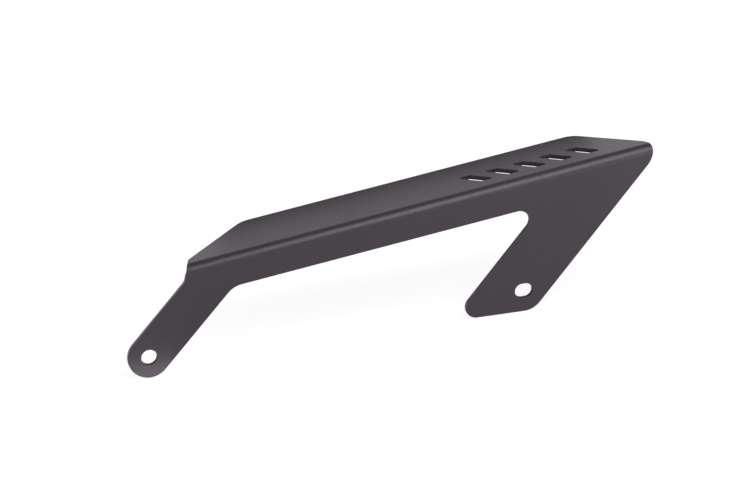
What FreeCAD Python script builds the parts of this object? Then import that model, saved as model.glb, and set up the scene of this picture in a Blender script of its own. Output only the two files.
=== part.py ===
import FreeCAD, Part
import math
import os
import Sketcher

# Scooter belt guard: one aluminium sheet, cut to outline, folded once along its top, powder coated black.
# Inside the body X runs along the fold, Y from the plate's outer face towards the belt and Z up the plate,
# with the front fixing hole at the origin. The body is then turned until both fixing holes are level.
# Lengths are in millimetres and angles in degrees.
size = {
    # the uncut strip, and the waste round it, as far as they reach from the front hole
    "strip_reach": 350.0,
    "waste_reach": 500.0,
    # the sheet and its fold
    "sheet_thickness": 2.0,
    "bend_radius": 2.0,
    "fold_height": 36.2,
    "fold_slope": 5.2,
    # the fixing holes: a round one in the arm and a slotted one in the foot
    "hole_diameter": 7.0,
    "hole_spacing": 167.1,
    "slot_width": 6.6,
    "slot_travel": 1.4,
    # the arm that carries the front hole
    "arm_end_radius": 9.4,
    "arm_slope": 39.5,
    "arm_fillet_radius": 10.5,
    # the band under the fold, between arm and foot
    "band_width": 14.2,
    "notch_radius": 4.6,
    # the foot that carries the rear hole
    "foot_width": 27.7,
    "foot_slope": 41.25,
    "foot_base_slope": 7.5,
    "foot_end_radius": 9.7,
    "toe_radius": 5.0,
    # the front end of the fold: a small step, and a lead over to the flange
    "lead_step": 6.35,
    "lead_radius": 6.0,
    "lead_slope": 64.5,
    "lead_depth": 7.65,
    # the rear end of the fold: one rounded corner, with its middle this far round the bend
    "rear_corner_radius": 9.4,
    "rear_corner_turn": 45.0,
    # the flange over the belt
    "flange_width": 32.7,
    "flange_front_slope": 40.2,
    "flange_rear_slope": 45.9,
    "flange_corner_radius": 9.4,
    # the row of slanted vents in the flange, counted from the rear
    "vent_count": 5,
    "vent_pitch": 12.25,
    "vent_margin": 18.6,
    "vent_row": 14.05,
    "vent_length": 9.2,
    "vent_gap": 3.95,
    "vent_slope": 47.5,
    "vent_corner_radius": 0.7,
}

doc = FreeCAD.newDocument("belt_guard")
sheet = doc.addObject("Spreadsheet::Sheet", "sizes")
for row, (name, value) in enumerate(size.items(), start=1):
    sheet.set(f"A{row}", name)
    sheet.set(f"B{row}", str(value))
    sheet.setAlias(f"B{row}", name)
doc.recompute()

guard = doc.addObject("PartDesign::Body", "guard")
guard.Label = "belt_guard"
origin = {feature.Role: feature for feature in guard.Origin.OriginFeatures}


def point(x, y):
    return FreeCAD.Vector(x, y, 0)


def heading(angle):
    """Unit vector along the given angle."""
    return point(math.cos(math.radians(angle)), math.sin(math.radians(angle)))


def left_of(angle):
    """Unit vector a quarter turn to the left of the given angle."""
    return heading(angle + 90)


def meet(start_a, angle_a, start_b, angle_b):
    """Point where two lines cross, each given by a point on it and its angle."""
    along = heading(angle_a)
    across = left_of(angle_b)
    return start_a + along * ((start_b - start_a).dot(across) / along.dot(across))


def new_sketch(name, plane):
    sketch = guard.newObject("Sketcher::SketchObject", name)
    sketch.AttachmentSupport = [(origin[plane], "")]
    sketch.MapMode = "FlatFace"
    return sketch


def bind(sketch, name, formula, kind, *where):
    """Adds a dimension to the sketch and ties it to the formula, whose value it starts with."""
    index = sketch.addConstraint(Sketcher.Constraint(kind, *where))
    sketch.renameConstraint(index, name)
    sketch.setExpression(f"Constraints.{name}", formula)


def draw_outline(sketch, sides, roundings):
    """Draws a closed outline, counterclockwise, of straight sides joined by corners or tangent arcs.

    A side is its name, a point on it and the angle that it runs along. A rounding goes by the side before
    it, and is the arc's radius as a number and as a formula, and its centre if the sides don't give it.
    Returns the sketch's numbers of the sides, and of the arcs by the side before each.
    """
    starts, ends, arcs = {}, {}, {}
    neighbours = list(zip(sides, sides[1:] + sides[:1]))
    for (name, start, angle), (after, next_start, next_angle) in neighbours:
        if name not in roundings:
            ends[name] = starts[after] = meet(start, angle, next_start, next_angle)
            continue
        radius, _, centre = roundings[name]
        turn = 180 - (180 - next_angle + angle) % 360
        inward = math.copysign(radius, turn)
        if centre is None:
            centre = meet(start + left_of(angle) * inward, angle,
                          next_start + left_of(next_angle) * inward, next_angle)
        ends[name] = centre - left_of(angle) * inward
        starts[after] = centre - left_of(next_angle) * inward
        first = angle - 90 if turn > 0 else next_angle + 90
        circle = Part.Circle(centre, FreeCAD.Vector(0, 0, 1), radius)
        arcs[name] = Part.ArcOfCircle(circle, math.radians(first), math.radians(first + abs(turn))), turn
    side_ids = {}
    for name, _, _ in sides:
        side_ids[name] = sketch.addGeometry(Part.LineSegment(starts[name], ends[name]), False)
    arc_ids = {}
    for (name, _, _), (after, _, _) in neighbours:
        if name not in roundings:
            corner = Sketcher.Constraint("Coincident", side_ids[name], 2, side_ids[after], 1)
            sketch.addConstraint(corner)
            continue
        arc, turn = arcs[name]
        entry, leave = (1, 2) if turn > 0 else (2, 1)
        arc_ids[name] = sketch.addGeometry(arc, False)
        sketch.addConstraint(Sketcher.Constraint("Tangent", side_ids[name], 2, arc_ids[name], entry))
        sketch.addConstraint(Sketcher.Constraint("Tangent", arc_ids[name], leave, side_ids[after], 1))
        radius, formula, _ = roundings[name]
        bind(sketch, f"{name}_rounding", formula, "Radius", arc_ids[name], radius)
    return side_ids, arc_ids


def rounding(name, centre=None):
    """Rounding whose radius is one size of the sheet."""
    return size[name], f"sizes.{name}", centre


def align(sketch, direction, *lines):
    """Keeps lines of the sketch level or upright."""
    for line in lines:
        sketch.addConstraint(Sketcher.Constraint(direction, line))


def cut_through(name, sketch):
    """Cuts the sketch through the body both ways, and makes sure that it took something away."""
    doc.recompute()
    before = guard.Shape.Volume
    pocket = guard.newObject("PartDesign::Pocket", name)
    pocket.Profile = sketch
    pocket.SideType = "Symmetric"
    pocket.Type = "ThroughAll"
    doc.recompute()
    if not guard.Shape.Volume < before:
        raise RuntimeError(f"{name} takes nothing away")
    return pocket


# Folded strip: the section of plate, bend and flange, carried along X. The strip is longer, deeper and
# wider than the guard, so that the guard's outlines can be cut from it.
thickness = size["sheet_thickness"]
height = size["fold_height"]
reach = size["strip_reach"]
outer_bend = size["bend_radius"] + thickness
section = new_sketch("fold_section", "YZ_Plane")
line, arc = draw_outline(section, [
    ("plate_end", point(0, -reach), 0),
    ("plate_back", point(thickness, 0), 90),
    ("flange_under", point(0, height - thickness), 0),
    ("flange_end", point(reach, 0), 90),
    ("flange_top", point(0, height), 180),
    ("plate_face", point(0, 0), -90),
], {
    "plate_back": rounding("bend_radius"),
    "flange_top": (outer_bend, "sizes.bend_radius + sizes.sheet_thickness", None),
})
align(section, "Horizontal", line["plate_end"], line["flange_under"], line["flange_top"])
align(section, "Vertical", line["plate_back"], line["flange_end"], line["plate_face"])
section.addConstraint(Sketcher.Constraint("PointOnObject", line["plate_face"], 1, -2))
bind(section, "plate_sheet", "sizes.sheet_thickness",
     "DistanceX", -1, 1, line["plate_back"], 1, thickness)
bind(section, "flange_sheet", "sizes.sheet_thickness",
     "DistanceY", line["flange_end"], 1, line["flange_end"], 2, thickness)
bind(section, "fold_height", "sizes.fold_height", "DistanceY", -1, 1, line["flange_top"], 1, height)
bind(section, "strip_width", "sizes.strip_reach", "DistanceX", -1, 1, line["flange_end"], 1, reach)
bind(section, "strip_depth", "sizes.strip_reach", "DistanceY", line["plate_end"], 1, -1, 1, reach)
strip = guard.newObject("PartDesign::Pad", "folded_strip")
strip.Profile = section
strip.SideType = "Symmetric"
strip.setExpression("Length", "2 * sizes.strip_reach")

# Front view of the guard: arm, band, foot and both ends of the fold, with waste all round it. The waste
# reaches past the strip on every side, and the outline's own top lies well above the fold. The corner at
# the rear end has its middle halfway round the bend, where the sheet faces up as much as out.
spacing = size["hole_spacing"]
waste = size["waste_reach"]
arm = size["arm_slope"]
foot = size["foot_slope"]
foot_base = size["foot_base_slope"]
rear_hole = heading(-size["fold_slope"]) * spacing
rear_radius = size["rear_corner_radius"]
bend_middle = outer_bend * (1 - math.sin(math.radians(size["rear_corner_turn"])))
bend_middle_formula = "(sizes.bend_radius + sizes.sheet_thickness) * (1 - sin(sizes.rear_corner_turn))"
foot_rear = rear_hole - left_of(foot) * size["foot_end_radius"]
rear_middle = meet(foot_rear + left_of(foot) * rear_radius, foot, point(0, height - bend_middle), 0)
rear_end = rear_middle + point(rear_radius, 0)
arm_top = left_of(arm) * size["arm_end_radius"]
front_end = meet(arm_top, arm, point(0, height), 0) - point(size["lead_step"], 0)
front = new_sketch("front_outline", "XZ_Plane")
line, arc = draw_outline(front, [
    ("arm_base", -arm_top, arm),
    ("band_base", point(0, height - size["band_width"]), 0),
    ("foot_front", foot_rear + left_of(foot) * size["foot_width"], foot - 180),
    ("foot_base", rear_hole - left_of(-foot_base) * size["foot_end_radius"], -foot_base),
    ("foot_rear", foot_rear, foot),
    ("rear_end", rear_end, 90),
    ("above_fold", point(0, reach), 180),
    ("front_end", front_end, -90),
    ("arm_top", arm_top, arm - 180),
], {
    "arm_base": rounding("arm_fillet_radius"),
    "band_base": rounding("notch_radius"),
    "foot_front": rounding("toe_radius"),
    "foot_base": rounding("foot_end_radius", rear_hole),
    "foot_rear": rounding("rear_corner_radius", rear_middle),
    "front_end": rounding("lead_radius"),
    "arm_top": rounding("arm_end_radius", point(0, 0)),
})
align(front, "Horizontal", line["band_base"], line["above_fold"])
align(front, "Vertical", line["rear_end"], line["front_end"])
front.addConstraint(Sketcher.Constraint("Parallel", line["arm_top"], line["arm_base"]))
front.addConstraint(Sketcher.Constraint("Parallel", line["foot_front"], line["foot_rear"]))
front.addConstraint(Sketcher.Constraint("Coincident", arc["arm_top"], 3, -1, 1))
bind(front, "arm_slope", "sizes.arm_slope",
     "Angle", line["arm_base"], math.radians(size["arm_slope"]))
bind(front, "foot_slope", "sizes.foot_slope",
     "Angle", line["foot_rear"], math.radians(size["foot_slope"]))
bind(front, "foot_base_slope", "-sizes.foot_base_slope",
     "Angle", line["foot_base"], -math.radians(size["foot_base_slope"]))
bind(front, "rear_hole_reach", "sizes.hole_spacing * cos(sizes.fold_slope)",
     "DistanceX", -1, 1, arc["foot_base"], 3, rear_hole.x)
bind(front, "rear_hole_drop", "sizes.hole_spacing * sin(sizes.fold_slope)",
     "DistanceY", arc["foot_base"], 3, -1, 1, -rear_hole.y)
bind(front, "foot_width", "sizes.foot_width",
     "Distance", line["foot_front"], 1, line["foot_rear"], size["foot_width"])
bind(front, "band_base_height", "sizes.fold_height - sizes.band_width",
     "DistanceY", -1, 1, line["band_base"], 1, height - size["band_width"])
bind(front, "rear_corner_height", f"sizes.fold_height - {bend_middle_formula}",
     "DistanceY", -1, 1, arc["foot_rear"], 3, height - bend_middle)
bind(front, "above_fold", "sizes.strip_reach", "DistanceY", -1, 1, line["above_fold"], 1, reach)
bind(front, "front_end", "(sizes.fold_height * cos(sizes.arm_slope) - sizes.arm_end_radius)"
     " / sin(sizes.arm_slope) - sizes.lead_step", "DistanceX", -1, 1, line["front_end"], 1, front_end.x)
rear_middle_reach = front.addConstraint(
    Sketcher.Constraint("DistanceX", -1, 1, arc["foot_rear"], 3, rear_middle.x))
front.setDriving(rear_middle_reach, False)
front.renameConstraint(rear_middle_reach, "rear_middle")
line, arc = draw_outline(front, [
    ("waste_base", point(0, -waste), 0),
    ("waste_rear", point(waste, 0), 90),
    ("waste_top", point(0, waste), 180),
    ("waste_front", point(-waste, 0), -90),
], {})
align(front, "Horizontal", line["waste_base"], line["waste_top"])
align(front, "Vertical", line["waste_rear"], line["waste_front"])
bind(front, "waste_base", "sizes.waste_reach", "DistanceY", line["waste_base"], 1, -1, 1, waste)
bind(front, "waste_top", "sizes.waste_reach", "DistanceY", -1, 1, line["waste_top"], 1, waste)
bind(front, "waste_front", "sizes.waste_reach", "DistanceX", line["waste_front"], 1, -1, 1, waste)
bind(front, "waste_rear", "sizes.waste_reach", "DistanceX", -1, 1, line["waste_rear"], 1, waste)
cut_through("front_cut", front)

# View from above: the waste round the flange. It starts behind the plate at the front end, follows the
# flange's slanted ends and free edge, and meets the rear end of the fold in the front view's round corner.
width = size["flange_width"]
corner = point(rear_middle.x, bend_middle)
lead = point(front_end.x, thickness)
lead_tip = meet(lead, size["lead_slope"], point(0, size["lead_depth"]), 0)
rear_slant = corner + left_of(-size["flange_rear_slope"]) * rear_radius
above = new_sketch("flange_outline", "XY_Plane")
line, arc = draw_outline(above, [
    ("behind_plate", lead, 0),
    ("lead", lead, size["lead_slope"]),
    ("front_slant", lead_tip, size["flange_front_slope"]),
    ("free_edge", point(0, width), 0),
    ("rear_slant", rear_slant, -size["flange_rear_slope"]),
    ("rear_end", rear_end, -90),
    ("before_plate", point(0, -reach), 0),
    ("waste_rear", point(waste, 0), 90),
    ("waste_edge", point(0, waste), 180),
    ("waste_front", point(-waste, 0), -90),
], {
    "front_slant": rounding("flange_corner_radius"),
    "free_edge": rounding("flange_corner_radius"),
    "rear_slant": rounding("rear_corner_radius", corner),
})
align(above, "Horizontal",
      line["behind_plate"], line["free_edge"], line["before_plate"], line["waste_edge"])
align(above, "Vertical", line["rear_end"], line["waste_rear"], line["waste_front"])
bind(above, "lead_slope", "sizes.lead_slope", "Angle", line["lead"], math.radians(size["lead_slope"]))
bind(above, "front_slope", "sizes.flange_front_slope",
     "Angle", line["front_slant"], math.radians(size["flange_front_slope"]))
bind(above, "rear_slope", "-sizes.flange_rear_slope",
     "Angle", line["rear_slant"], math.radians(-size["flange_rear_slope"]))
bind(above, "plate_back", "sizes.sheet_thickness", "DistanceY", -1, 1, line["lead"], 1, thickness)
bind(above, "front_end", "front_outline.Constraints.front_end",
     "DistanceX", -1, 1, line["lead"], 1, lead.x)
bind(above, "lead_depth", "sizes.lead_depth", "DistanceY", -1, 1, line["lead"], 2, size["lead_depth"])
bind(above, "flange_width", "sizes.flange_width", "DistanceY", -1, 1, line["free_edge"], 1, width)
bind(above, "corner_reach", "front_outline.Constraints.rear_middle",
     "DistanceX", -1, 1, arc["rear_slant"], 3, corner.x)
bind(above, "corner_depth", bend_middle_formula, "DistanceY", -1, 1, arc["rear_slant"], 3, corner.y)
bind(above, "before_plate", "sizes.strip_reach", "DistanceY", line["before_plate"], 1, -1, 1, reach)
bind(above, "waste_edge", "sizes.waste_reach", "DistanceY", -1, 1, line["waste_edge"], 1, waste)
bind(above, "waste_front", "sizes.waste_reach", "DistanceX", line["waste_front"], 1, -1, 1, waste)
bind(above, "waste_rear", "sizes.waste_reach", "DistanceX", -1, 1, line["waste_rear"], 1, waste)
cut_through("flange_cut", above)

# Fixing holes, on the line from one to the other: round in the arm, slotted along that line in the foot.
holes = new_sketch("fixing_holes", "XZ_Plane")
level = FreeCAD.Rotation(FreeCAD.Vector(0, 0, 1), -size["fold_slope"])
holes.AttachmentOffset = FreeCAD.Placement(point(0, 0), level)
holes.setExpression("AttachmentOffset.Rotation.Angle", "-sizes.fold_slope")
hole_radius = size["hole_diameter"] / 2
slot_radius = size["slot_width"] / 2
travel = point(size["slot_travel"] / 2, 0)
slot_middle = point(spacing, 0)
round_hole = holes.addGeometry(Part.Circle(point(0, 0), FreeCAD.Vector(0, 0, 1), hole_radius), False)
holes.addConstraint(Sketcher.Constraint("Coincident", round_hole, 3, -1, 1))
bind(holes, "hole_diameter", "sizes.hole_diameter", "Diameter", round_hole, size["hole_diameter"])
half_slot = "sizes.slot_width / 2"
line, arc = draw_outline(holes, [
    ("slot_base", slot_middle - point(0, slot_radius), 0),
    ("slot_top", slot_middle + point(0, slot_radius), 180),
], {
    "slot_base": (slot_radius, half_slot, slot_middle + travel),
    "slot_top": (slot_radius, half_slot, slot_middle - travel),
})
align(holes, "Horizontal", line["slot_base"])
holes.addConstraint(Sketcher.Constraint("PointOnObject", arc["slot_base"], 3, -1))
bind(holes, "slot_front", "sizes.hole_spacing - sizes.slot_travel / 2",
     "DistanceX", -1, 1, arc["slot_top"], 3, (slot_middle - travel).x)
bind(holes, "slot_travel", "sizes.slot_travel",
     "DistanceX", arc["slot_top"], 3, arc["slot_base"], 3, size["slot_travel"])
cut_through("fixing_cut", holes)

# Vents: one slanted slot with rounded corners near the rear end of the flange, repeated towards the front.
slant = 180 - size["vent_slope"]
vent_middle = point(rear_middle.x - size["vent_margin"], size["vent_row"])
half_length = point(0, size["vent_length"] / 2)
half_gap = left_of(slant) * (size["vent_gap"] / 2)
vent = new_sketch("vent", "XY_Plane")
line, arc = draw_outline(vent, [
    ("near_end", vent_middle - half_length, 0),
    ("rear_side", vent_middle - half_gap, slant),
    ("far_end", vent_middle + half_length, 180),
    ("front_side", vent_middle + half_gap, slant - 180),
], {side: rounding("vent_corner_radius") for side in ("near_end", "rear_side", "far_end", "front_side")})
align(vent, "Horizontal", line["near_end"], line["far_end"])
vent.addConstraint(Sketcher.Constraint("Parallel", line["front_side"], line["rear_side"]))
middle = vent.addGeometry(Part.Point(vent_middle), True)
vent.addConstraint(Sketcher.Constraint("Symmetric", arc["near_end"], 3, arc["far_end"], 3, middle, 1))
bind(vent, "vent_slope", "180 - sizes.vent_slope", "Angle", line["rear_side"], math.radians(slant))
bind(vent, "vent_length", "sizes.vent_length",
     "DistanceY", line["near_end"], 1, line["far_end"], 1, size["vent_length"])
bind(vent, "vent_gap", "sizes.vent_gap",
     "Distance", line["front_side"], 1, line["rear_side"], size["vent_gap"])
bind(vent, "vent_reach", "front_outline.Constraints.rear_middle - sizes.vent_margin * 1 mm",
     "DistanceX", -1, 1, middle, 1, vent_middle.x)
bind(vent, "vent_row", "sizes.vent_row", "DistanceY", -1, 1, middle, 1, vent_middle.y)
vent_cut = cut_through("vent_cut", vent)
vents = guard.newObject("PartDesign::LinearPattern", "vents")
vents.Originals = [vent_cut]
vents.Direction = (origin["X_Axis"], [""])
vents.Reversed = True
vents.Mode = "Spacing"
vents.setExpression("Offset", "sizes.vent_pitch")
vents.setExpression("Occurrences", "sizes.vent_count")
guard.Tip = vents

# The guard as it is fixed: turned about the front hole until the rear hole is level with it.
fixed = FreeCAD.Rotation(FreeCAD.Vector(0, 1, 0), -size["fold_slope"])
guard.Placement = FreeCAD.Placement(point(0, 0), fixed)
guard.setExpression("Placement.Rotation.Angle", "-sizes.fold_slope")
doc.recompute()

for thing in doc.Objects:
    if "Invalid" in thing.State or "Error" in thing.State:
        raise RuntimeError(f"{thing.Label} failed: {thing.State}")
for sketch in (section, front, above, holes, vent):
    if sketch.solve() != 0 or not sketch.FullyConstrained:
        raise RuntimeError(f"{sketch.Label} isn't fully constrained")
if guard.Shape.isNull() or not guard.Shape.isValid() or len(guard.Shape.Solids) != 1:
    raise RuntimeError("the guard isn't one sound solid")
os.makedirs("parts", exist_ok=True)
guard.Shape.exportStep(f"parts/{guard.Label}.step")
box = guard.Shape.BoundBox
print(f"{guard.Label}: {box.XLength:.1f} x {box.YLength:.1f} x {box.ZLength:.1f} mm, "
      f"{guard.Shape.Volume / 1000:.2f} cm3")
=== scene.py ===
import math

import bpy
import numpy as np
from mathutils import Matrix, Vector
from mathutils.geometry import delaunay_2d_cdt


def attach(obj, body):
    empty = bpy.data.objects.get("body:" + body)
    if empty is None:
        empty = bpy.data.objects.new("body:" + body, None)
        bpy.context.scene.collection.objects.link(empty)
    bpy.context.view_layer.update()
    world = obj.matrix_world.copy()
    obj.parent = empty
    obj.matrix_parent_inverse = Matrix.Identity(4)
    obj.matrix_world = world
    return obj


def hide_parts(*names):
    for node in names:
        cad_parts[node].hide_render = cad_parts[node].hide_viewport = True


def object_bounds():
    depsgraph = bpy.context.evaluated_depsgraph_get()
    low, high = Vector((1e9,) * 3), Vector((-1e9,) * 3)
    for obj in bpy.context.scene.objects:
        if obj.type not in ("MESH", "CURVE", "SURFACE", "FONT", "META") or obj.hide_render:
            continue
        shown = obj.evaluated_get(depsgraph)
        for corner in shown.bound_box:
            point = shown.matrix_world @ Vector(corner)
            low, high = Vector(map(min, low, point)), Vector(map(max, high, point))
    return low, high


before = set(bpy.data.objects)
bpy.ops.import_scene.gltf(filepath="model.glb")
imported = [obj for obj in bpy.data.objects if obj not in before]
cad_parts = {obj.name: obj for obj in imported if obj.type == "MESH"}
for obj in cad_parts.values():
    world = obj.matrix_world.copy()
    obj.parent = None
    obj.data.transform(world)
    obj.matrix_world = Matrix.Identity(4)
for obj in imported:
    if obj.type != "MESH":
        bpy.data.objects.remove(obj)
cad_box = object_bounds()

# Belt guard: one 2 mm aluminium sheet, laser cut flat, folded once along its top and powder coated
# satin black. M6 screws through its arm and foot hold it. Its blank is drawn in millimetres and degrees:
# u runs along the fold, and s across it on the outer face, from where the bend leaves the plate.
millimetre = 0.001
sheet_thickness = 2.0
bend_radius = 4.0
bend_length = bend_radius * math.pi / 2
fold_height = 36.2
fold_slope = 5.2
hole_diameter = 7.0
hole_spacing = 167.1
slot_width = 6.6
slot_travel = 1.4
arm_end_radius = 9.37
arm_slope = 39.5
arm_fillet_radius = 10.5
band_width = 14.2
notch_radius = 4.6
foot_width = 27.7
foot_slope = 41.25
foot_base_slope = 7.5
foot_end_radius = 9.69
toe_radius = 5.0
lead_tip = np.array([25.56, 7.65])
lead_tip_radius = 1.0
lead_slope = 70.4
lead_foot_radius = 5.0
rear_corner_radius = 10.4
rear_slant_point = np.array([230.68, 7.9])
flange_width = 32.7
flange_front_slope = 40.2
flange_rear_slope = 45.9
flange_corner_radius = 9.4
vent_count = 5
vent_pitch = 12.25
last_vent = np.array([205.48, 14.05])
vent_length = 9.2
vent_gap = 3.95
vent_slope = 47.5
vent_corner_radius = 0.7
cut_edge_radius = 0.3
screw_hole_edge_radius = 0.05
corner_steps = 24
edge_steps = 5
bend_rows = 19
bend_columns = 60
row_margin = 0.8
least_share = 0.05
same_point = 1e-6


def heading(angle):
    """Unit vectors along angles in degrees: cosine and sine."""
    turn = np.radians(angle)
    return np.stack([np.cos(turn), np.sin(turn)], axis=-1)


def on_plate(x, z):
    """Blank point of a plate point: its height is counted from the plate's side of the bend."""
    return np.array([x, z - (fold_height - bend_radius)])


def on_flange(x, y):
    """Blank point of a flange point: its depth behind the outer face is counted past the bend."""
    return np.array([x, y - bend_radius + bend_length])


def rounded_path(sides, radii):
    """Closed path of straight sides with a tangent arc at each corner, and its normals into the sheet.

    A side is a point and an angle. Corner i is where side i crosses the next one. Its arc turns from
    one angle to the other, r away from a centre that lies r to the inner side of both, so a point on it
    is the centre minus r times the normal at that turn. The sheet is on the left of the path. Where two
    arcs meet with no straight between them, their common point is kept once.
    """
    points = np.array([side[0] for side in sides])
    angles = np.array([side[1] for side in sides], float)
    after = np.roll(angles, -1)
    along, across = heading(angles), heading(after + 90)
    reach = ((np.roll(points, -1, axis=0) - points) * across).sum(1) / (along * across).sum(1)
    corners = points + along * reach[:, None]
    turn = (after - angles + 180) % 360 - 180
    bend = np.sign(turn) * np.array(radii, float)
    start = corners - along * (np.array(radii) * np.tan(np.radians(np.abs(turn)) / 2))[:, None]
    centre = start + heading(angles + 90) * bend[:, None]
    share = np.linspace(0, 1, corner_steps)
    normal = heading(angles[:, None] + turn[:, None] * share + 90)
    path = (centre[:, None] - normal * bend[:, None, None]).reshape(-1, 2)
    apart = np.linalg.norm(np.roll(path, -1, axis=0) - path, axis=1) > same_point
    return path[apart], normal.reshape(-1, 2)[apart]


def split_at_rows(path, normal, rows):
    """The path with a further point where a step of it crosses a row of the bend, s = constant.

    The share of the step up to the crossing is the rise to the row over the rise of the whole step. A
    crossing close to either end of its step is left out, because a point is already there.
    """
    step = np.roll(path, -1, axis=0) - path
    level = step[:, 1] == 0
    share = (rows[None] - path[:, 1, None]) / np.where(level, np.inf, step[:, 1])[:, None]
    segment, row = np.nonzero((share > least_share) & (share < 1 - least_share))
    place = np.sort(np.concatenate([np.arange(len(path)), segment + share[segment, row]]))
    whole = place.astype(int)
    part = (place - whole)[:, None]
    following = (whole + 1) % len(path)
    normal = normal[whole] * (1 - part) + normal[following] * part
    return path[whole] + step[whole] * part, normal / np.linalg.norm(normal, axis=1, keepdims=True)


def turned(x, y, z):
    """Turns by the fold's slope about the Y axis, which brings the two screw holes level."""
    slope = math.radians(fold_slope)
    return np.stack([x * math.cos(slope) - z * math.sin(slope), y,
                     x * math.sin(slope) + z * math.cos(slope)], axis=-1)


def fold(u, s, depth):
    """Place of a blank point on the folded sheet, in the record's frame and in metres.

    Up to s = 0 the sheet stands upright. It then goes round the bend by the angle s over the bend's
    radius, and past a quarter turn it lies level. The whole is turned by the fold's slope about the
    front hole.
    """
    angle = np.clip(s / bend_radius, 0, math.pi / 2)
    radius = bend_radius - depth
    y = bend_radius - radius * np.cos(angle) + np.maximum(s - bend_length, 0)
    z = fold_height - bend_radius + radius * np.sin(angle) + np.minimum(s, 0)
    return turned(u, y, z) * millimetre


def folded_normal(side_u, side_s, front, s):
    """Direction of a normal that is given along u, along s and out of the outer face of the blank.

    The s part and the outward part turn with the sheet, by the angle s over the bend's radius.
    """
    angle = np.clip(s / bend_radius, 0, math.pi / 2)
    y = side_s * np.sin(angle) - front * np.cos(angle)
    z = side_s * np.cos(angle) + front * np.sin(angle)
    return turned(side_u, y, z)


def hole(middle, width, height, radius, lean=90.0, tilt=0.0):
    """Path round a hole: a box of that width and height, leaning by an angle, its corners rounded."""
    half_width = heading(tilt + lean - 90) * width / 2
    half_height = heading(tilt + 90) * height / 2
    return rounded_path([
        (middle - half_height, tilt + 180),
        (middle - half_width, tilt + lean),
        (middle + half_height, tilt),
        (middle + half_width, tilt + lean + 180),
    ], [radius] * 4)


front_hole = on_plate(0, 0)
rear_slot = front_hole + heading(-fold_slope) * hole_spacing
band_base = on_plate(0, fold_height - band_width)
arm_side = heading(arm_slope + 90) * arm_end_radius
foot_rear = rear_slot - heading(foot_slope + 90) * foot_end_radius
outline = rounded_path([
    (front_hole - arm_side, arm_slope),
    (band_base, 0),
    (foot_rear + heading(foot_slope + 90) * foot_width, foot_slope + 180),
    (rear_slot - heading(90 - foot_base_slope) * foot_end_radius, -foot_base_slope),
    (foot_rear, foot_slope),
    (on_flange(*rear_slant_point), 180 - flange_rear_slope),
    (on_flange(0, flange_width), 180),
    (on_flange(*lead_tip), 180 + flange_front_slope),
    (on_flange(*lead_tip), 180 + lead_slope),
    (front_hole + arm_side, arm_slope + 180),
    (front_hole - heading(arm_slope) * arm_end_radius, arm_slope + 270),
], [arm_fillet_radius, notch_radius, toe_radius, foot_end_radius, rear_corner_radius,
    flange_corner_radius, flange_corner_radius, lead_tip_radius, lead_foot_radius,
    arm_end_radius, arm_end_radius])
rows = np.linspace(0, bend_length, bend_rows)
vents = [hole(on_flange(*last_vent) - [vent_pitch * number, 0], vent_gap, vent_length,
              vent_corner_radius, lean=180 - vent_slope) for number in range(vent_count)]
loops = [
    split_at_rows(*outline, rows),
    hole(front_hole, hole_diameter, hole_diameter, hole_diameter / 2),
    hole(rear_slot, slot_width + slot_travel, slot_width, slot_width / 2, tilt=-fold_slope),
    *vents,
]
edge_radii = [cut_edge_radius] + [screw_hole_edge_radius] * 2 + [cut_edge_radius] * vent_count

# The cut edge: a flat wall with a small round at either face, carried along every path. At angle a of its
# half turn it stands r(1 - sin a) into the sheet and r(1 - cos a) deep, and its second half is deeper by
# the wall. Two shares tell the coat where the outline's edge and the walls of the holes are.
round_angle = np.concatenate([np.linspace(0, 90, edge_steps), np.linspace(90, 180, edge_steps)])
edge_side = np.sin(np.radians(round_angle))
edge_front = np.cos(np.radians(round_angle))
second_half = np.repeat([0, 1], edge_steps)
places, normals, thin_coat_and_highlight, hole_wall, facets, rings = [], [], [], [], [], []
count = 0
for number, ((path, inward), edge_radius) in enumerate(zip(loops, edge_radii)):
    is_outline = number == 0
    inset = edge_radius * (1 - edge_side)
    edge_depth = edge_radius * (1 - edge_front) + second_half * (sheet_thickness - 2 * edge_radius)
    blank = path[:, None] + inward[:, None] * inset[:, None]
    u, s = blank[..., 0], blank[..., 1]
    places.append(fold(u, s, edge_depth[None]).reshape(-1, 3))
    normals.append(folded_normal(-inward[:, :1] * edge_side, -inward[:, 1:] * edge_side,
                                 edge_front[None], s).reshape(-1, 3))
    # Share of the outline's edge, painted paler: thin coat there, and a painted highlight of the lit edge.
    thin_coat_and_highlight.append(np.broadcast_to(edge_side * is_outline, u.shape).ravel())
    hole_wall.append(np.broadcast_to(edge_side * (not is_outline), u.shape).ravel())
    grid = count + np.arange(u.size).reshape(u.shape)
    following = np.roll(grid, -1, axis=0)
    facets.append(np.stack([grid[:, :-1], grid[:, 1:], following[:, 1:], following[:, :-1]],
                           axis=-1).reshape(-1, 4))
    rings.append((blank[:, 0], grid))
    count += u.size

# The two faces: the blank between the paths, in triangles, with rows of points round the bend from just
# behind the guard's front end to just before its rear end. Both faces have the same triangles, and a
# triangle with all its corners on one hole's ring lies in that hole and is left out.
outline_path = loops[0][0]
behind_vents = outline_path[:, 0] > last_vent[0]


def bend_end(path):
    """u of a stretch of the outline at each row of the bend: straight between its nearest points."""
    near = path[np.abs(path[:, 1] - bend_length / 2) < bend_length]
    near = near[np.argsort(near[:, 1])]
    return np.interp(rows, near[:, 1], near[:, 0])


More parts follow.
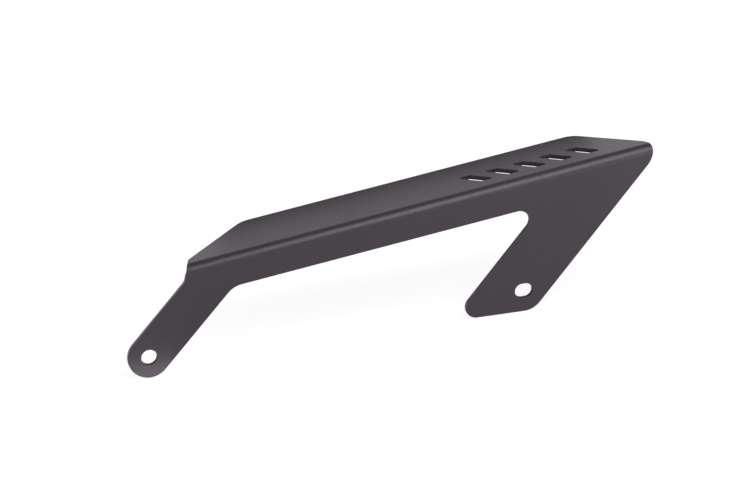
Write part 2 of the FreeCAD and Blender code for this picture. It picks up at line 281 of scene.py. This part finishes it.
share = np.linspace(0, 1, bend_columns)[:, None]
bend_u = ((bend_end(outline_path[~behind_vents]) + row_margin) * (1 - share)
          + (bend_end(outline_path[behind_vents]) - row_margin) * share).ravel()
bend_s = np.tile(rows, bend_columns)
flat_points = np.concatenate([ring for ring, _ in rings] + [np.stack([bend_u, bend_s], -1)])
ring_edges = []
first = 0
for ring, _ in rings:
    index = first + np.arange(len(ring))
    ring_edges.append(np.stack([index, np.roll(index, -1)], -1))
    first += len(ring)
inside_the_outline = 1
_, _, triangles, origin, _, _ = delaunay_2d_cdt(
    flat_points.tolist(), np.concatenate(ring_edges).tolist(), [], inside_the_outline, same_point)
triangles = np.array([source[0] for source in origin])[np.array(triangles)]
loop_number = np.repeat(np.arange(len(rings) + 1), [len(ring) for ring, _ in rings] + [bend_u.size])
owners = loop_number[triangles]
in_a_hole = (owners == owners[:, :1]).all(1) & (owners[:, 0] > 0) & (owners[:, 0] < len(rings))
triangles = triangles[~in_a_hole]
zeros = np.zeros(bend_u.size)
for edge_column, facing, depth in ((0, 1.0, 0.0), (-1, -1.0, sheet_thickness)):
    places.append(fold(bend_u, bend_s, depth))
    normals.append(folded_normal(zeros, zeros, facing, bend_s))
    thin_coat_and_highlight.append(zeros)
    hole_wall.append(zeros)
    corners = np.concatenate([grid[:, edge_column] for _, grid in rings]
                             + [count + np.arange(bend_u.size)])
    face = corners[triangles]
    facets.append(face if facing > 0 else face[:, ::-1])
    count += bend_u.size
faces = [facet for block in facets for facet in block.tolist()]
guard_mesh = bpy.data.meshes.new("guard_sheet")
guard_mesh.from_pydata(np.concatenate(places).tolist(), [], faces, shade_flat=False)
for name, shares in (("cut_edge", thin_coat_and_highlight), ("hole_wall", hole_wall)):
    guard_mesh.attributes.new(name, "FLOAT", "POINT").data.foreach_set(
        "value", np.concatenate(shares).astype(np.float32))
guard_mesh.normals_split_custom_set_from_vertices(np.concatenate(normals).tolist())
guard = bpy.data.objects.new("guard_sheet", guard_mesh)
bpy.context.scene.collection.objects.link(guard)

# Satin black powder coat: sprayed as powder and baked, so it flows into a fine orange peel, drawn a little
# deep here, with a soft grey sheen and a faint grain. The outline's cut edge is painted as a paler line:
# the coat draws back thin there, and the pale also serves as a painted highlight of the lit edge. Little
# powder gets into the holes and vents, so their walls are dull.
peel_width = 2.0
peel_depth = 0.2
peel_strength = 0.45
grain_width = 0.35
cloud_width = 35.0
least_roughness = 0.36
greatest_roughness = 0.46
wall_roughness = 0.85


def linear(hex_colour):
    """sRGB hex colour as linear red, green, blue and full alpha."""
    value = np.array([int(hex_colour[i:i + 2], 16) for i in (1, 3, 5)]) / 255
    value = np.where(value <= 0.04045, value / 12.92, ((value + 0.055) / 1.055) ** 2.4)
    return (*value.tolist(), 1.0)


def add(tree, kind, inputs=None, **settings):
    """Adds a node with its settings. An input is a value, or the socket of another node to link to."""
    node = tree.nodes.new(kind)
    for name, value in settings.items():
        setattr(node, name, value)
    for name, value in (inputs or {}).items():
        if isinstance(value, bpy.types.NodeSocket):
            tree.links.new(value, node.inputs[name])
        else:
            node.inputs[name].default_value = value
    return node


def per_metre(millimetres):
    """Scale of a pattern whose features are that many millimetres wide."""
    return 1000 / millimetres


coat = bpy.data.materials.new("satin_black_powder_coat")
coat.use_nodes = True
tree = coat.node_tree
tree.nodes.clear()
where = add(tree, "ShaderNodeTexCoord").outputs["Object"]
peel = add(tree, "ShaderNodeTexNoise",
           {"Vector": where, "Scale": per_metre(peel_width), "Detail": 3.0})
grain = add(tree, "ShaderNodeTexNoise",
            {"Vector": where, "Scale": per_metre(grain_width), "Detail": 1.0})
cloud = add(tree, "ShaderNodeTexNoise",
            {"Vector": where, "Scale": per_metre(cloud_width), "Detail": 3.0})
edge = add(tree, "ShaderNodeAttribute", attribute_name="cut_edge").outputs["Fac"]
tone = add(tree, "ShaderNodeMix", {"Factor": cloud.outputs["Fac"], "A": linear("#1f1b20"),
                                   "B": linear("#272328")}, data_type="RGBA")
# The outline's cut edge is mixed towards a paler grey: thin coat there, and a painted highlight of the lit
# edge.
edge_share = add(tree, "ShaderNodeMath", {0: edge, 1: grain.outputs["Fac"]}, operation="MULTIPLY")
edge_tone = add(tree, "ShaderNodeMix", {"Factor": edge_share.outputs[0], "A": tone.outputs["Result"],
                                        "B": linear("#5b575c")}, data_type="RGBA")
gloss = add(tree, "ShaderNodeMapRange", {"Value": grain.outputs["Fac"], "From Min": 0.3, "From Max": 0.7,
                                         "To Min": least_roughness, "To Max": greatest_roughness})
wall = add(tree, "ShaderNodeAttribute", attribute_name="hole_wall").outputs["Fac"]
roughness = add(tree, "ShaderNodeMix", {"Factor": wall, "A": gloss.outputs["Result"],
                                        "B": wall_roughness}, data_type="FLOAT")
bump = add(tree, "ShaderNodeBump", {"Height": peel.outputs["Fac"], "Strength": peel_strength,
                                    "Distance": peel_depth * millimetre})
surface = add(tree, "ShaderNodeBsdfPrincipled", {
    "Base Color": edge_tone.outputs["Result"], "Roughness": roughness.outputs["Result"], "IOR": 1.5,
    "Specular Tint": linear("#fff1ff"), "Normal": bump.outputs["Normal"]})
add(tree, "ShaderNodeOutputMaterial", {"Surface": surface.outputs["BSDF"]})
guard_mesh.materials.append(coat)
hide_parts("belt_guard")
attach(guard, "root")

# Floor: a wide sheet of matt white card under the guard, which stands on the ends of its arm and foot.
# The camera sees it white, with the guard's soft shadow.
floor_height = cad_box[0].z
floor_half = 4.0
floor_glow = 0.86
floor_mesh = bpy.data.meshes.new("floor")
floor_mesh.from_pydata([(x * floor_half, y * floor_half, floor_height)
                        for x, y in ((-1, -1), (1, -1), (1, 1), (-1, 1))], [], [(0, 1, 2, 3)])
floor = bpy.data.objects.new("floor", floor_mesh)
bpy.context.scene.collection.objects.link(floor)


def seen_directly(tree):
    """1 for what is seen straight, in a reflection or through glass, 0 for what lights the object.

    It is the greatest of the three light path marks for camera, glossy and transmission rays.
    """
    rays = add(tree, "ShaderNodeLightPath").outputs
    mirrored = add(tree, "ShaderNodeMath", {0: rays["Is Camera Ray"], 1: rays["Is Glossy Ray"]},
                   operation="MAXIMUM")
    return add(tree, "ShaderNodeMath", {0: mirrored.outputs[0], 1: rays["Is Transmission Ray"]},
               operation="MAXIMUM").outputs[0]


card = bpy.data.materials.new("matt_white_card")
card.use_nodes = True
tree = card.node_tree
tree.nodes.clear()
lit = add(tree, "ShaderNodeBsdfDiffuse", {"Color": linear("#e6e6e6")})
shade = add(tree, "ShaderNodeBsdfDiffuse", {"Color": linear("#808080")})
glow = add(tree, "ShaderNodeEmission", {"Color": linear("#ffffff"), "Strength": floor_glow})
white = add(tree, "ShaderNodeAddShader", {0: shade.outputs[0], 1: glow.outputs[0]})
card_surface = add(tree, "ShaderNodeMixShader", {"Fac": seen_directly(tree), 1: lit.outputs[0],
                                                 2: white.outputs[0]})
add(tree, "ShaderNodeOutputMaterial", {"Surface": card_surface.outputs[0]})
floor_mesh.materials.append(card)

# Studio light, in metres and watts: a softbox in front on the right, a wide one behind for the sheen of the
# flange, a small one low by the foot and a faint one on the floor, which shines up at the end of the arm.
# A narrow black flag behind the flange, out of the camera's sight, takes the light off its far edge.
guard_middle = (0.12, 0.01, 0.03)
foot_middle = (0.18, 0.0, 0.0)
above_arm_end = (-0.009, -0.0072, 0.5)


def softbox(name, size, power, place, target, colour="#ffffff"):
    """Rectangular lamp that faces its target: its -Z axis points along the line to it."""
    lamp_data = bpy.data.lights.new(name, "AREA")
    lamp_data.shape = "RECTANGLE"
    lamp_data.size, lamp_data.size_y = size
    lamp_data.energy = power
    lamp_data.color = linear(colour)[:3]
    lamp = bpy.data.objects.new(name, lamp_data)
    lamp.location = place
    lamp.rotation_euler = (Vector(target) - Vector(place)).to_track_quat("-Z", "Y").to_euler()
    lamp.visible_camera = False
    bpy.context.scene.collection.objects.link(lamp)


softbox("key", size=(0.4, 0.5), power=3.6, place=(0.27, -0.42, 0.58), target=guard_middle)
softbox("sheen", size=(1.4, 0.4), power=2.4, place=(0.6, 1.3, 0.5), target=guard_middle,
        colour="#fff1ff")
softbox("fill", size=(0.3, 0.12), power=0.45, place=(0.45, -0.28, 0.055), target=foot_middle)
softbox("bounce", size=(0.044, 0.013), power=0.0037, place=(-0.009, -0.0072, floor_height + 0.0004),
        target=above_arm_end)

flag_front, flag_rear, flag_depth = 0.045, 0.221, 0.075
flag_front_top, flag_rear_top = 0.06, 0.077
flag_mesh = bpy.data.meshes.new("flag")
flag_mesh.from_pydata([(flag_front, flag_depth, 0.0), (flag_rear, flag_depth, 0.0),
                       (flag_rear, flag_depth, flag_rear_top), (flag_front, flag_depth, flag_front_top)],
                      [], [(0, 1, 2, 3)])
flag = bpy.data.objects.new("flag", flag_mesh)
flag.visible_camera = False
flag.visible_shadow = False
bpy.context.scene.collection.objects.link(flag)
black_card = bpy.data.materials.new("matt_black_card")
black_card.use_nodes = True
tree = black_card.node_tree
tree.nodes.clear()
black = add(tree, "ShaderNodeBsdfDiffuse", {"Color": linear("#141414")})
add(tree, "ShaderNodeOutputMaterial", {"Surface": black.outputs[0]})
flag_mesh.materials.append(black_card)

# Room: white at the horizon, a little less so above it and dim overhead, by the height of a direction: its
# strength is one less that height near the horizon, then even, and falls smoothly from low to overhead.
low_level = 0.9
overhead_level = 0.4
room = bpy.data.worlds.new("white_room")
bpy.context.scene.world = room
room.use_nodes = True
tree = room.node_tree
tree.nodes.clear()
direction = add(tree, "ShaderNodeTexCoord").outputs["Generated"]
height = add(tree, "ShaderNodeSeparateXYZ", {"Vector": direction}).outputs["Z"]
dim = add(tree, "ShaderNodeMapRange", {"Value": height, "From Min": 0.4, "From Max": 0.75,
                                       "To Min": low_level, "To Max": overhead_level},
          interpolation_type="SMOOTHSTEP")
horizon = add(tree, "ShaderNodeMath", {0: 1.0, 1: height}, operation="SUBTRACT", use_clamp=True)
level = add(tree, "ShaderNodeMath", {0: dim.outputs["Result"], 1: horizon.outputs[0]},
            operation="MAXIMUM")
sky = add(tree, "ShaderNodeBackground", {"Color": linear("#ffffff"), "Strength": level.outputs[0]})
add(tree, "ShaderNodeOutputWorld", {"Surface": sky.outputs[0]})

# Camera: a long lens in front of the guard, a little to its left and above it, tipped slightly to one
# side. Its focal length is counted in pixels of the picture's width.
picture_width = 732
focal_pixels = 4000
sensor_width = 36.0
camera_data = bpy.data.cameras.new("camera")
camera_data.sensor_width = sensor_width
camera_data.lens = sensor_width * focal_pixels / picture_width
camera_data.clip_end = 20.0
camera = bpy.data.objects.new("camera", camera_data)
camera.location = (-0.27996, -1.52767, 0.69818)
camera.rotation_euler = [math.radians(angle) for angle in (67.0767, 4.0556, -15.6216)]
bpy.context.scene.collection.objects.link(camera)
bpy.context.scene.camera = camera
bpy.context.scene.view_settings.view_transform = "Standard"
